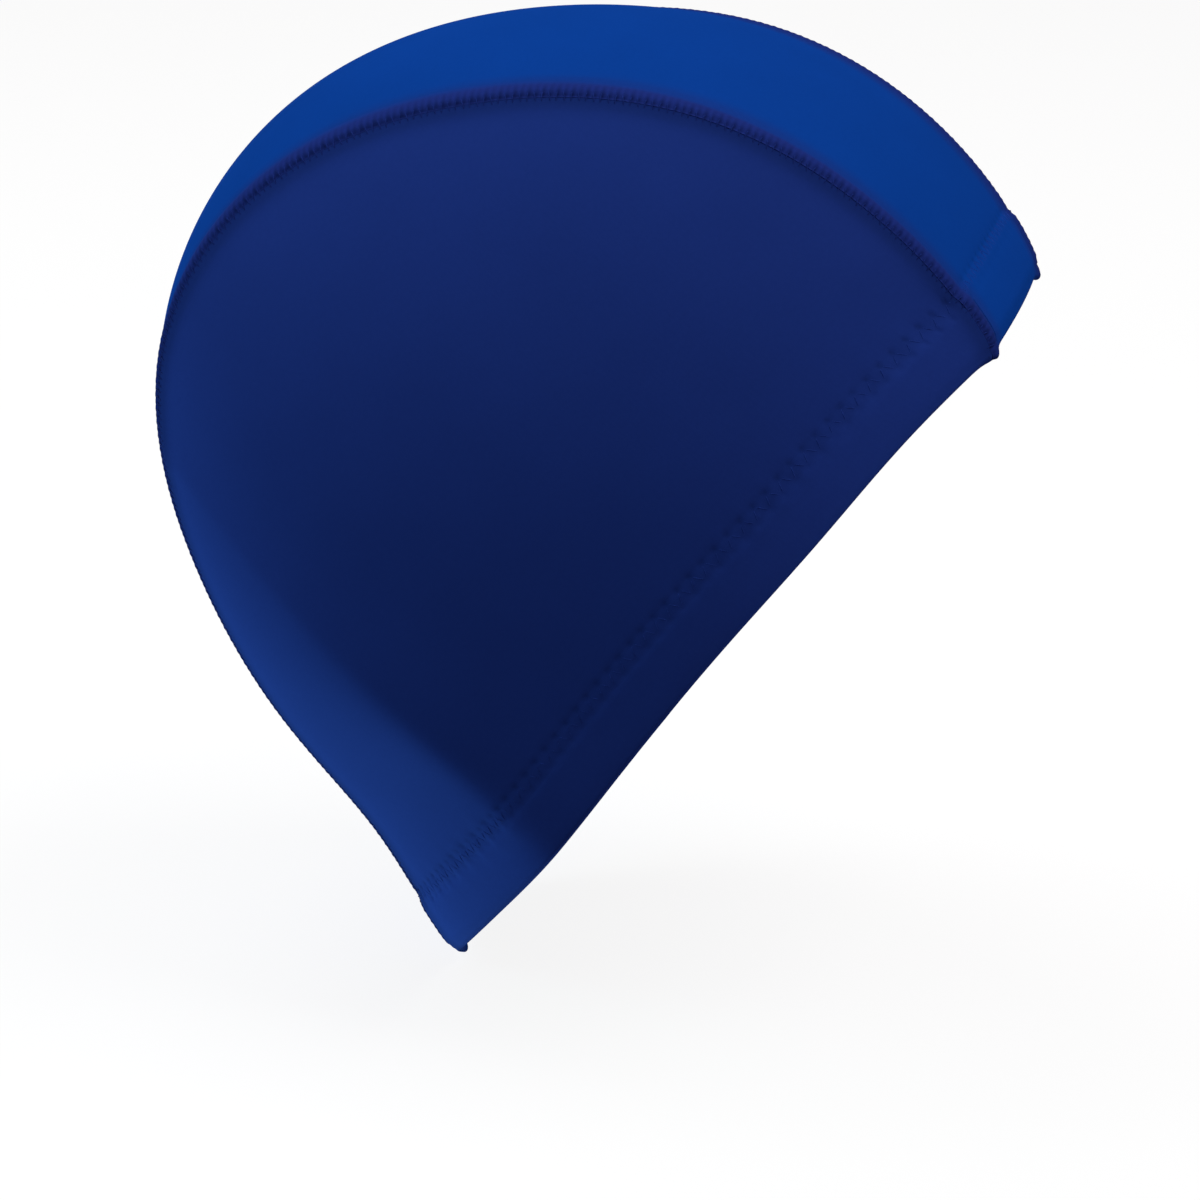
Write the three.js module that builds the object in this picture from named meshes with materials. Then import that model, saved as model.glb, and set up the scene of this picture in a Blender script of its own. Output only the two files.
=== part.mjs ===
import * as THREE from 'three';

// Driving sizes of the worn cap, in millimetres and degrees.
const NAPE_REACH = 101;       // middle of the opening to its nape end, along the rim plane
const CAP_BREADTH = 145;      // outside breadth over the ears
const STRIP_WIDTH = 84;       // centre panel at its widest, seam to seam
const STRIP_CROWN = 10;       // most that the centre panel rounds up between its two seams
const RIM_ARCH = 4.4;         // how far the rim rises over the ear
const ARCH_FADE = 60;         // height over which the rim's rise dies out
const RIM_TILT = 51.7;        // forehead end of the opening up, nape end down
const CLOTH = 1.0;            // wall of each cloth panel
const CLEARANCE = 0.3;        // gap between neighbouring pieces
const HEM_DEPTH = 15;         // turned-in leaf of the hem
const FOLD_HEIGHT = 1.7;      // height of the hem's folded edge
const FOLD_DROP = 1.2;        // how far the seam ends push the fold down
const FOLD_DROP_REACH = 3.5;  // and how far along the rim that shows
const FOLD_DROP_IN = 1.7;     // and how far in from the seam line it is deepest
const SEAM_WIDTH = 5.6;       // overlocked seam band, on the centre panel's side
const SEAM_RISE = 0.7;        // seam band above the cloth
const FACET_START = 42;       // where the side turns in to the nape, behind the middle
const FACET_SHARE = 0.75;     // how flat the nape facet is, 0 round to 1 flat
const FACET_SOFTNESS = 0.14;  // rounding of the fold between side and nape facet
const PUCKER_DEPTH = 0.9;     // dent beside the forehead end of each seam
const PUCKER_SIZE = 9;
const PUCKER_AHEAD = 99;

// Stations round the profile, each 20 degrees, from the forehead end of the rim over the crown to
// the nape end. reach is a share of NAPE_REACH, width a share of STRIP_WIDTH, crown a share of
// STRIP_CROWN, and fullness is the power of the side's curve (2 an oval, 4 a square shoulder).
const STATIONS = [
  { reach: 0.955, width: 0.795, crown: 0.20, fullness: 1.96 },
  { reach: 1.108, width: 0.967, crown: 0.30, fullness: 2.14 },
  { reach: 1.268, width: 0.995, crown: 0.46, fullness: 2.35 },
  { reach: 1.352, width: 0.981, crown: 1.02, fullness: 2.61 },
  { reach: 1.450, width: 1.000, crown: 1.14, fullness: 2.93 },
  { reach: 1.427, width: 1.000, crown: 0.84, fullness: 3.24 },
  { reach: 1.175, width: 0.910, crown: 0.62, fullness: 3.49 },
  { reach: 1.008, width: 0.800, crown: 0.52, fullness: 3.63 },
  { reach: 0.886, width: 0.690, crown: 0.46, fullness: 3.69 },
  { reach: 1.000, width: 0.580, crown: 0.41, fullness: 3.69 },
];

// The rim's rise at equal steps from the nape end to the forehead end, as a share of RIM_ARCH.
const ARCH = [0, 0.19, 0.24, 0.59, 0.97, 1.03, 0.80, 0.88, 0];

// Mesh steps.
const STRIP_STEPS = 56;
const STRIP_ROWS = 8;
const SIDE_STEPS = 44;
const SIDE_ROWS = 14;
const SEAM_STEPS = 56;
const HEM_SIDE_STEPS = 36;
const HEM_FRONT_STEPS = 10;
const HEM_NAPE_STEPS = 8;

const CLOTH_COLOUR = 0x0d3490;
const SEAM_COLOUR = 0x23277c;

const SIDE_OUT = CAP_BREADTH / 2;
const EDGE_START = FOLD_HEIGHT + CLEARANCE;
const STEP = 0.02;

const mix = (a, b, t) => a + (b - a) * t;
const clamp = (x, low, high) => Math.min(high, Math.max(low, x));
const smooth = (x) => { const t = clamp(x, 0, 1); return t * t * (3 - 2 * t); };

// Smooth curve that starts on the first value and ends on the last, place from 0 to 1.
function curve(values, place) {
  const last = values.length - 1;
  const at = (i) => (i < 0 ? 2 * values[0] - values[1]
    : i > last ? 2 * values[last] - values[last - 1] : values[i]);
  const s = clamp(place, 0, 1) * last;
  const k = Math.min(Math.floor(s), last - 1);
  const f = s - k;
  return (at(k - 1) * (1 - f) ** 3 + at(k) * (3 * f ** 3 - 6 * f ** 2 + 4)
    + at(k + 1) * (-3 * f ** 3 + 3 * f ** 2 + 3 * f + 1) + at(k + 2) * f ** 3) / 6;
}

const column = (name) => STATIONS.map((row) => row[name]);
const REACH = column('reach');
const WIDTH = column('width');
const CROWN = column('crown');
const FULLNESS = column('fullness');
const reachAt = (angle) => NAPE_REACH * curve(REACH, angle / Math.PI);
const stripHalfAt = (angle) => STRIP_WIDTH / 2 * curve(WIDTH, angle / Math.PI);
const crownAt = (angle) => STRIP_CROWN * curve(CROWN, angle / Math.PI);

// A point given along the rim plane (ahead), across the head (across, to the wearer's left) and
// up from the rim plane (up), set into the upright frame with the rim's rise added.
const TILT = RIM_TILT * Math.PI / 180;
function place(ahead, across, up) {
  const rise = RIM_ARCH * curve(ARCH, (ahead / NAPE_REACH + 1) / 2)
    * Math.exp(-((Math.max(up, 0) / ARCH_FADE) ** 2));
  const high = up + rise;
  return new THREE.Vector3(
    ahead * Math.cos(TILT) - high * Math.sin(TILT),
    across,
    ahead * Math.sin(TILT) + high * Math.cos(TILT),
  );
}

// Outer face of the centre panel at an angle round the profile and a distance across.
function stripPoint(angle, across) {
  const share = across / stripHalfAt(angle);
  const radius = reachAt(angle) + crownAt(angle) * (1 - share * share);
  return place(radius * Math.cos(angle), across, radius * Math.sin(angle));
}

// Soft corner: 0 well before the fold, a straight line well past it.
const hinge = (x) => (x + Math.sqrt(x * x + FACET_SOFTNESS * FACET_SOFTNESS)) / 2;

// Outer face of a side panel, as its distance from the middle of the head.
function sideOut(ahead, up) {
  const angle = clamp(Math.atan2(Math.max(up, 0), ahead), 0, Math.PI);
  const reach = reachAt(angle);
  const share = Math.hypot(ahead, up) / reach;
  const half = stripHalfAt(angle);
  const round = 1 - share ** curve(FULLNESS, angle / Math.PI);
  const span = Math.max(-reach * Math.cos(angle) - FACET_START, 5);
  const flat = Math.min(1, 1 - hinge((-ahead - FACET_START) / span) / hinge(1));
  const facet = FACET_SHARE * smooth((angle * 180 / Math.PI - 105) / 45);
  const along = Math.hypot(ahead - PUCKER_AHEAD, up - 17) / PUCKER_SIZE;
  const pucker = PUCKER_DEPTH * Math.exp(-along * along) * (1 - share ** 12);
  return half + (SIDE_OUT - half) * mix(round, flat, facet) - pucker;
}
const sidePoint = (ahead, up, side) => place(ahead, side * sideOut(ahead, up), up);

// Outward directions by small steps along the face.
function normalOf(face, a, b, outward) {
  const da = face(a + STEP, b).sub(face(a - STEP, b));
  const db = face(a, b + STEP).sub(face(a, b - STEP));
  const n = da.cross(db).normalize();
  return n.dot(outward) < 0 ? n.negate() : n;
}
function stripNormal(angle, across) {
  const low = STEP / 50;
  const a = clamp(angle, low, Math.PI - low);
  const da = stripPoint(a + low, across).sub(stripPoint(a - low, across));
  const db = stripPoint(a, across + STEP).sub(stripPoint(a, across - STEP));
  const n = da.cross(db).normalize();
  return n.dot(stripPoint(a, across).setY(0)) < 0 ? n.negate() : n;
}
function sideNormal(ahead, up, side) {
  const out = new THREE.Vector3(0, side, 0);
  return normalOf((a, b) => sidePoint(a, b, side), ahead, Math.max(up, 2 * STEP), out);
}

// Distance ahead of the seam line where it stands at a height over the rim plane.
function seamAngleAt(up, inset, nape) {
  let angle = up / NAPE_REACH;
  for (let i = 0; i < 20; i += 1) {
    const real = nape ? Math.PI - angle : angle;
    angle += (up - (reachAt(real) - inset) * Math.sin(angle)) / (reachAt(real) - inset);
  }
  return nape ? Math.PI - angle : angle;
}
const seamAheadAt = (up, inset, nape) => {
  const angle = seamAngleAt(up, inset, nape);
  return (reachAt(angle) - inset) * Math.cos(angle);
};

// Closed mesh from triangles of points: near points become one, flat triangles go, faces turn out.
function solid(name, triangles, colour) {
  const index = new Map();
  const positions = [];
  const faces = [];
  const number = (p) => {
    const key = `${Math.round(p.x * 1000)},${Math.round(p.y * 1000)},${Math.round(p.z * 1000)}`;
    if (!index.has(key)) {
      index.set(key, positions.length / 3);
      positions.push(p.x, p.y, p.z);
    }
    return index.get(key);
  };
  let volume = 0;
  for (const [a, b, c] of triangles) {
    const [i, j, k] = [number(a), number(b), number(c)];
    if (i !== j && j !== k && i !== k) {
      faces.push(i, j, k);
      volume += a.dot(b.clone().cross(c));
    }
  }
  if (volume < 0) {
    for (let f = 0; f < faces.length; f += 3) [faces[f], faces[f + 1]] = [faces[f + 1], faces[f]];
  }
  const geometry = new THREE.BufferGeometry();
  geometry.setAttribute('position', new THREE.Float32BufferAttribute(positions, 3));
  geometry.setIndex(faces);
  geometry.computeVertexNormals();
  const material = new THREE.MeshStandardMaterial({ color: colour, roughness: 0.8 });
  const mesh = new THREE.Mesh(geometry, material);
  mesh.name = name;
  return mesh;
}

const quad = (list, a, b, c, d) => list.push([a, b, c], [a, c, d]);

// A sheet with two faces, given as rows of { outer, inner }, closed all round its edge.
function sheet(rows) {
  const out = [];
  const n = rows.length - 1;
  const m = rows[0].length - 1;
  for (let i = 0; i < n; i += 1) {
    for (let j = 0; j < m; j += 1) {
      const [a, b, c, d] = [rows[i][j], rows[i + 1][j], rows[i + 1][j + 1], rows[i][j + 1]];
      quad(out, a.outer, b.outer, c.outer, d.outer);
      quad(out, d.inner, c.inner, b.inner, a.inner);
    }
  }
  for (let i = 0; i < n; i += 1) {
    quad(out, rows[i][0].inner, rows[i + 1][0].inner, rows[i + 1][0].outer, rows[i][0].outer);
    quad(out, rows[i][m].outer, rows[i + 1][m].outer, rows[i + 1][m].inner, rows[i][m].inner);
  }
  for (let j = 0; j < m; j += 1) {
    quad(out, rows[0][j].outer, rows[0][j + 1].outer, rows[0][j + 1].inner, rows[0][j].inner);
    quad(out, rows[n][j].inner, rows[n][j + 1].inner, rows[n][j + 1].outer, rows[n][j].outer);
  }
  return out;
}

// A bar through like sections, closed to a ring or capped at both ends.
function bar(sections, ring) {
  const out = [];
  const n = sections.length;
  const m = sections[0].length;
  for (let i = 0; i < (ring ? n : n - 1); i += 1) {
    const [a, b] = [sections[i], sections[(i + 1) % n]];
    for (let j = 0; j < m; j += 1) quad(out, a[j], b[j], b[(j + 1) % m], a[(j + 1) % m]);
  }
  if (!ring) {
    const [first, last] = [sections[0], sections[n - 1]];
    for (let j = 1; j < m - 1; j += 1) {
      out.push([first[0], first[j], first[j + 1]], [last[0], last[j + 1], last[j]]);
    }
  }
  return out;
}

const inward = (point, normal, depth) => point.clone().addScaledVector(normal, -depth);

// Centre panel: forehead over the crown to the nape, between the two seam bands.
function centrePanel() {
  const from = seamAngleAt(EDGE_START, 0, false);
  const to = seamAngleAt(EDGE_START, 0, true);
  const rows = [];
  for (let i = 0; i <= STRIP_STEPS; i += 1) {
    const angle = mix(from, to, i / STRIP_STEPS);
    const half = stripHalfAt(angle) - SEAM_WIDTH - CLEARANCE;
    const row = [];
    for (let j = 0; j <= STRIP_ROWS; j += 1) {
      const across = mix(-half, half, j / STRIP_ROWS);
      const outer = stripPoint(angle, across);
      row.push({ outer, inner: inward(outer, stripNormal(angle, across), CLOTH) });
    }
    rows.push(row);
  }
  return solid('centre_panel', sheet(rows), CLOTH_COLOUR);
}

// Side panel: the half-moon between the hem's fold and the seam line.
function sidePanel(name, side) {
  const inset = CLEARANCE;
  const from = seamAngleAt(EDGE_START, inset, false);
  const to = seamAngleAt(EDGE_START, inset, true);
  const front = seamAheadAt(EDGE_START, inset, false);
  const back = seamAheadAt(EDGE_START, inset, true);
  const rows = [];
  for (let i = 0; i <= SIDE_STEPS; i += 1) {
    const share = i / SIDE_STEPS;
    const angle = mix(from, to, share);
    const top = reachAt(angle) - inset;
    const edge = stripNormal(angle, side * stripHalfAt(angle));
    const row = [];
    for (let j = 0; j <= SIDE_ROWS; j += 1) {
      const t = j / SIDE_ROWS;
      const ahead = mix(mix(front, back, share), top * Math.cos(angle), t);
      const up = mix(EDGE_START, top * Math.sin(angle), t);
      const outer = sidePoint(ahead, up, side);
      const normal = sideNormal(ahead, up, side);
      const corner = j === SIDE_ROWS || i === 0 || i === SIDE_STEPS;
      const inner = corner ? inward(outer, edge, CLOTH / edge.dot(normal))
        : inward(outer, normal, CLOTH);
      row.push({ outer, inner });
    }
    rows.push(row);
  }
  return solid(name, sheet(rows), CLOTH_COLOUR);
}

// Seam band: distance in from the seam line towards the middle, and height over the cloth.
const SEAM_SECTION = [
  { along: 0, high: -CLOTH },
  { along: 0, high: 0.5 * SEAM_RISE },
  { along: 0.2 * SEAM_WIDTH, high: SEAM_RISE },
  { along: 0.75 * SEAM_WIDTH, high: SEAM_RISE },
  { along: SEAM_WIDTH, high: 0.2 * SEAM_RISE },
  { along: SEAM_WIDTH, high: -CLOTH },
];
function seamBand(name, side) {
  const from = seamAngleAt(EDGE_START, 0, false);
  const to = seamAngleAt(EDGE_START, 0, true);
  const sections = [];
  for (let i = 0; i <= SEAM_STEPS; i += 1) {
    const angle = mix(from, to, i / SEAM_STEPS);
    const half = stripHalfAt(angle);
    sections.push(SEAM_SECTION.map(({ along, high }) => {
      const across = side * (half - along);
      return inward(stripPoint(angle, across), stripNormal(angle, across), -high);
    }));
  }
  return solid(name, bar(sections, false), SEAM_COLOUR);
}

// Hem: the folded edge under the panels and the leaf turned up inside them. Each corner of its
// section is a depth in from the outer face and a height over the rim.
const LEAF_OUT = CLOTH + CLEARANCE;
const LEAF_IN = LEAF_OUT + CLOTH;
const HEM_SECTION = [
  { depth: 0, high: FOLD_HEIGHT },
  { depth: 0, high: 0.5 * FOLD_HEIGHT },
  { depth: 0.15 * LEAF_IN, high: 0.12 * FOLD_HEIGHT },
  { depth: 0.5 * LEAF_IN, high: 0 },
  { depth: 0.85 * LEAF_IN, high: 0.12 * FOLD_HEIGHT },
  { depth: LEAF_IN, high: 0.5 * FOLD_HEIGHT },
  { depth: LEAF_IN, high: 0.5 * HEM_DEPTH },
  { depth: LEAF_IN, high: HEM_DEPTH },
  { depth: LEAF_OUT, high: HEM_DEPTH },
  { depth: LEAF_OUT, high: 0.5 * HEM_DEPTH },
  { depth: LEAF_OUT, high: FOLD_HEIGHT },
];

// Stations round the rim: each gives the face and its outward direction at a height over the rim.
function hemStations() {
  const stations = [];
  const strip = (share, nape) => (high) => {
    const angle = seamAngleAt(high, 0, nape);
    const across = share * stripHalfAt(angle);
    return { point: stripPoint(angle, across), normal: stripNormal(angle, across) };
  };
  const side = (share, sign) => (high) => {
    const ahead = mix(seamAheadAt(high, 0, false), seamAheadAt(high, 0, true), share);
    return { point: sidePoint(ahead, high, sign), normal: sideNormal(ahead, high, sign) };
  };
  const corner = (share, nape, sign) => (high) => {
    const a = strip(share, nape)(high);
    const b = side(nape ? 0.999 : 0.001, sign)(high);
    const normal = a.normal.clone().add(b.normal).normalize();
    return { point: a.point, normal: normal.divideScalar(Math.max(normal.dot(a.normal), 0.8)) };
  };
  stations.push(corner(-1, false, -1));
  for (let i = 1; i < HEM_SIDE_STEPS; i += 1) stations.push(side(i / HEM_SIDE_STEPS, -1));
  stations.push(corner(-1, true, -1));
  for (let i = 1; i < HEM_NAPE_STEPS; i += 1) {
    stations.push(strip(mix(-1, 1, i / HEM_NAPE_STEPS), true));
  }
  stations.push(corner(1, true, 1));
  for (let i = HEM_SIDE_STEPS - 1; i > 0; i -= 1) stations.push(side(i / HEM_SIDE_STEPS, 1));
  stations.push(corner(1, false, 1));
  for (let i = 1; i < HEM_FRONT_STEPS; i += 1) {
    stations.push(strip(mix(1, -1, i / HEM_FRONT_STEPS), false));
  }
  return stations;
}

// The seam ends make the fold thicker: how far it hangs lower near a seam.
function foldDrop(point, seams) {
  const near = Math.min(...seams.map((seam) => seam.distanceTo(point)));
  return FOLD_DROP * Math.exp(-((near / FOLD_DROP_REACH) ** 2));
}

function hem() {
  const seams = [];
  for (const nape of [false, true]) {
    for (const sign of [-1, 1]) {
      const angle = nape ? Math.PI : 0;
      seams.push(stripPoint(angle, sign * (stripHalfAt(angle) - FOLD_DROP_IN)));
    }
  }
  const down = new THREE.Vector3(Math.sin(TILT), 0, -Math.cos(TILT));
  const sections = hemStations().map((at) => {
    const drop = foldDrop(at(0).point, seams);
    return HEM_SECTION.map(({ depth, high }) => {
      const { point, normal } = at(high);
      const low = high < FOLD_HEIGHT ? drop * (1 - high / FOLD_HEIGHT) : 0;
      return inward(point, normal, depth).addScaledVector(down, low);
    });
  });
  return solid('hem', bar(sections, true), CLOTH_COLOUR);
}

const cap = new THREE.Group();
cap.name = 'swim_cap';
cap.add(
  centrePanel(),
  sidePanel('side_panel_right', -1),
  sidePanel('side_panel_left', 1),
  seamBand('seam_right', -1),
  seamBand('seam_left', 1),
  hem(),
);

export default cap;
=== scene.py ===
"""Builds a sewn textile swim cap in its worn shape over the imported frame, with its studio."""
import math

import bmesh
import bpy
import numpy as np
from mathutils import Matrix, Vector


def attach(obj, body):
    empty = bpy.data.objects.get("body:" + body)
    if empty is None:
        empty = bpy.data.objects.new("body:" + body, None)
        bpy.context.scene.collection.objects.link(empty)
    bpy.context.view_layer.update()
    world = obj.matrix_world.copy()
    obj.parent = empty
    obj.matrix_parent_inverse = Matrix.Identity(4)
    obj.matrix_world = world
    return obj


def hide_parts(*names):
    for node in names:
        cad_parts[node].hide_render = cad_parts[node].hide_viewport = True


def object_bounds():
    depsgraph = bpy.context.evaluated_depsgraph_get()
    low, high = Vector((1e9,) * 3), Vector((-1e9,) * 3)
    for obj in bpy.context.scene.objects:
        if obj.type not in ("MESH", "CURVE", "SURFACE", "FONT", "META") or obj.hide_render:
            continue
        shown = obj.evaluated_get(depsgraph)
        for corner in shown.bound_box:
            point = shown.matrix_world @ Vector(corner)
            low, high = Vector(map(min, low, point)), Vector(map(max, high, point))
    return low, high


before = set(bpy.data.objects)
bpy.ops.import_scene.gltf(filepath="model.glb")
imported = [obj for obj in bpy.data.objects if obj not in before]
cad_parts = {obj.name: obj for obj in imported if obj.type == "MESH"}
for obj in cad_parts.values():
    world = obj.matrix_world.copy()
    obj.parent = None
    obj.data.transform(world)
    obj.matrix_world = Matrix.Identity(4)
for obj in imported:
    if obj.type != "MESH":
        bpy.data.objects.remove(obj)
CAD_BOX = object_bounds()

bl_info = {
    "name": "Swim Cap",
    "version": (1, 0, 0),
    "blender": (4, 5, 0),
    "location": "3D View > Sidebar > Swim Cap",
    "description": "Sewn textile swim cap in its worn shape",
    "category": "Object",
}

# Worn shape, in metres and degrees, as in the frame's source.
NAPE_REACH = 0.101
CAP_BREADTH = 0.145
STRIP_WIDTH = 0.084
STRIP_CROWN = 0.010
RIM_ARCH = 0.0044
ARCH_FADE = 0.060
RIM_TILT = math.radians(51.7)
FACET_START = 0.042
FACET_SHARE = 0.75
FACET_SOFTNESS = 0.14
FACET_FROM, FACET_TURN = 105, 45
FACET_MIDDLE = 0.2
LEAST_SPAN = 0.005
PUCKER_DEPTH = 0.0009
PUCKER_SIZE = 0.009
PUCKER_AHEAD = 0.099
PUCKER_UP = 0.017
CLOTH = 0.001
HEM_DEPTH = 0.015
FOLD_HEIGHT = 0.0017
FOLD_DROP = 0.0012
FOLD_DROP_REACH = 0.0035
SEAM_WIDTH = 0.0056
SEAM_END_IN = 0.0017
FOLD_RADIUS = 0.00115
EDGE_GAP = 0.0003
END_REACH = 0.0035

# Mesh: top of the finely meshed hem, and steps for measuring slopes.
HEM_TOP = 0.022
PROBE = 2e-5
PROBE_TURN = 4e-4

# Forms too fine for the frame: the hem stands out a little where the cloth is double, and the side
# panels roll over towards the back seams.
HEM_STEP = 0.0007
HEM_STEP_AT = 0.0165
HEM_STEP_SOFT = 0.004
ROLL_HEIGHT = 0.0012
ROLL_SIZE = 0.004
ROLL_REACH = 0.03
ROLL_FROM, ROLL_TURN = 100, 30

# Relief of the hem stitching: the needle rows, the ridge between them, the double cloth below,
# the ripple along the rim and the needle holes.
ROW_SINK, ROW_REACH = 0.00007, 0.0008
RIDGE_HEIGHT, RIDGE_REACH = 0.00005, 0.0012
DOUBLE_HEIGHT, DOUBLE_REACH = 0.00012, 0.003
RIPPLE_HEIGHT, RIPPLE_REACH, RIPPLE_PITCH = 0.00005, 0.0045, 0.0083
HOLE_DEPTH, HOLE_SIZE = 0.00013, 0.0007
STRIP_START = 0.1

# Stations round the profile, each 20 degrees, from the forehead end over the crown to the nape:
# reach, strip width, strip crown and fullness of the side, as shares of the sizes above.
STATIONS = (
    (0.955, 0.795, 0.20, 1.96),
    (1.108, 0.967, 0.30, 2.14),
    (1.268, 0.995, 0.46, 2.35),
    (1.352, 0.981, 1.02, 2.61),
    (1.450, 1.000, 1.14, 2.93),
    (1.427, 1.000, 0.84, 3.24),
    (1.175, 0.910, 0.62, 3.49),
    (1.008, 0.800, 0.52, 3.63),
    (0.886, 0.690, 0.46, 3.69),
    (1.000, 0.580, 0.41, 3.69),
)
REACH, WIDTH, CROWN, FULLNESS = np.array(STATIONS).T
ARCH = np.array((0, 0.19, 0.24, 0.59, 0.97, 1.03, 0.80, 0.88, 0))
UP = np.array((-math.sin(RIM_TILT), 0, math.cos(RIM_TILT)))


def smooth(x):
    """Soft step from 0 to 1."""
    t = np.clip(x, 0, 1)
    return t * t * (3 - 2 * t)


def bump(x, size):
    """Soft bump of height 1 at 0."""
    return np.exp(-((x / size) ** 2))


def unit(v):
    """Vectors at length 1."""
    return v / np.maximum(np.linalg.norm(v, axis=-1, keepdims=True), 1e-12)


def curve(values, place):
    """Smooth curve from the first value to the last, place from 0 to 1."""
    last = len(values) - 1
    v = np.concatenate(([2 * values[0] - values[1]], values, [2 * values[-1] - values[-2]]))
    s = np.clip(place, 0, 1) * last
    k = np.minimum(np.floor(s).astype(int), last - 1)
    f = s - k
    return (v[k] * (1 - f) ** 3 + v[k + 1] * (3 * f**3 - 6 * f**2 + 4)
            + v[k + 2] * (-3 * f**3 + 3 * f**2 + 3 * f + 1) + v[k + 3] * f**3) / 6


def reach_at(angle):
    """Distance of the seam line from the middle of the opening, in the side view."""
    reach = NAPE_REACH * curve(REACH, angle / math.pi)
    up = reach * np.sin(angle)
    rising, falling = smooth(up / HEM_STEP_SOFT), smooth((HEM_STEP_AT - up) / HEM_STEP_SOFT)
    return reach + HEM_STEP * rising * falling


def half_at(angle):
    """Half of the centre panel's width."""
    return STRIP_WIDTH / 2 * curve(WIDTH, angle / math.pi)


def cap_point(ahead, across, up):
    """Point from distances along the rim plane, across the head and up from the rim plane."""
    rise = RIM_ARCH * curve(ARCH, (ahead / NAPE_REACH + 1) / 2)
    high = up + rise * np.exp(-((np.maximum(up, 0) / ARCH_FADE) ** 2))
    return np.stack((ahead * math.cos(RIM_TILT) - high * math.sin(RIM_TILT),
                     across + 0 * high,
                     ahead * math.sin(RIM_TILT) + high * math.cos(RIM_TILT)), -1)


def strip_polar(angle, across):
    """Ahead and up on the centre panel's face."""
    share = across / half_at(angle)
    radius = reach_at(angle) + STRIP_CROWN * curve(CROWN, angle / math.pi) * (1 - share**2)
    return radius * np.cos(angle), radius * np.sin(angle)


def strip_point(angle, across):
    """Outer face of the centre panel at an angle round the profile and a distance across."""
    ahead, up = strip_polar(angle, across)
    return cap_point(ahead, across, up)


def strip_normal(angle, across):
    """Outward direction of the centre panel's face."""
    a = np.clip(angle, PROBE_TURN, math.pi - PROBE_TURN)
    round_ = strip_point(a + PROBE_TURN, across) - strip_point(a - PROBE_TURN, across)
    along = strip_point(a, across + PROBE) - strip_point(a, across - PROBE)
    n = unit(np.cross(round_, along))
    out = strip_point(a, across) * (1, 0, 1)
    return n * np.sign((n * out).sum(-1, keepdims=True))


def side_out(ahead, up):
    """Distance of the side panel's face from the middle of the head."""
    angle = np.clip(np.arctan2(np.maximum(up, 0), ahead), 0, math.pi)
    reach, half = reach_at(angle), half_at(angle)
    share = np.hypot(ahead, up) / reach
    round_ = 1 - share ** curve(FULLNESS, angle / math.pi)
    span = np.maximum(-reach * np.cos(angle) - FACET_START, LEAST_SPAN)
    past = (-ahead - FACET_START) / span
    past = (past + np.sqrt(past**2 + FACET_SOFTNESS**2)) / (1 + math.sqrt(1 + FACET_SOFTNESS**2))
    flat = np.minimum(1, 1 - past)
    degrees = np.degrees(angle)
    facet = FACET_SHARE * smooth((degrees - FACET_FROM) / FACET_TURN) * smooth(share / FACET_MIDDLE)
    near = np.hypot(ahead - PUCKER_AHEAD, up - PUCKER_UP)
    pucker = PUCKER_DEPTH * bump(near, PUCKER_SIZE) * (1 - share**12)
    inside = reach * (1 - share)
    roll = ROLL_HEIGHT * smooth((degrees - ROLL_FROM) / ROLL_TURN) * bump(inside, ROLL_REACH)
    roll = roll * (1 - np.exp(-np.maximum(inside, 0) / ROLL_SIZE))
    return half + (CAP_BREADTH / 2 - half) * (round_ + (flat - round_) * facet) - pucker + roll


def side_point(ahead, up, side):
    """Outer face of a side panel, side -1 on the right and 1 on the left."""
    return cap_point(ahead, side * side_out(ahead, up), up)


def side_normal(ahead, up, side):
    """Outward direction of a side panel's face."""
    u = np.maximum(up, 2 * PROBE)
    a = side_point(ahead + PROBE, u, side) - side_point(ahead - PROBE, u, side)
    b = side_point(ahead, u + PROBE, side) - side_point(ahead, u - PROBE, side)
    n = unit(np.cross(a, b))
    return n * np.sign(n[..., 1:2] * side)


def angle_at(up, nape):
    """Angle round the profile where the seam line stands at a height over the rim plane."""
    angle = up / NAPE_REACH
    for _ in range(20):
        reach = reach_at(math.pi - angle if nape else angle)
        angle = angle + (up - reach * np.sin(angle)) / reach
    return math.pi - angle if nape else angle


def ends_at(up):
    """Angles where the seam line stands at a height, at the forehead and at the nape."""
    return angle_at(np.asarray(up), False), angle_at(np.asarray(up), True)


def seam_ends(side):
    """Where a seam's two ends meet the fold, forehead first."""
    angles = np.array((0.0, math.pi))
    return strip_point(angles, side * (half_at(angles) - SEAM_END_IN))


def corner_normals(side):
    """Outward directions of strip and side panel at the forehead and nape ends of a seam."""
    angles = np.array((0.0, math.pi))
    strip = strip_normal(angles, side * half_at(angles))
    ahead = np.array((reach_at(0.0) - EDGE_GAP, EDGE_GAP - reach_at(math.pi)))
    return strip, side_normal(ahead, np.full(2, 4e-5), side)


def mixed(first, second, share):
    """Outward directions that turn from the first to the second as share goes from 0 to 1."""
    share = share[..., None]
    return unit(first * (1 - share) + second * share)


def eased(normal, point, other, ends):
    """Turns a panel's outward direction towards its neighbour's close to the ends of a seam."""
    for k in range(2):
        near = np.linalg.norm(point - ends[k], axis=-1, keepdims=True)
        normal = normal + other[k] * bump(near, END_REACH)
    return unit(normal)


def fold_drop(point, ends):
    """How far the thick seam ends push the folded edge down."""
    near = np.minimum(*(np.linalg.norm(point - end, axis=-1) for end in ends))
    return FOLD_DROP * bump(near, FOLD_DROP_REACH)


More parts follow.
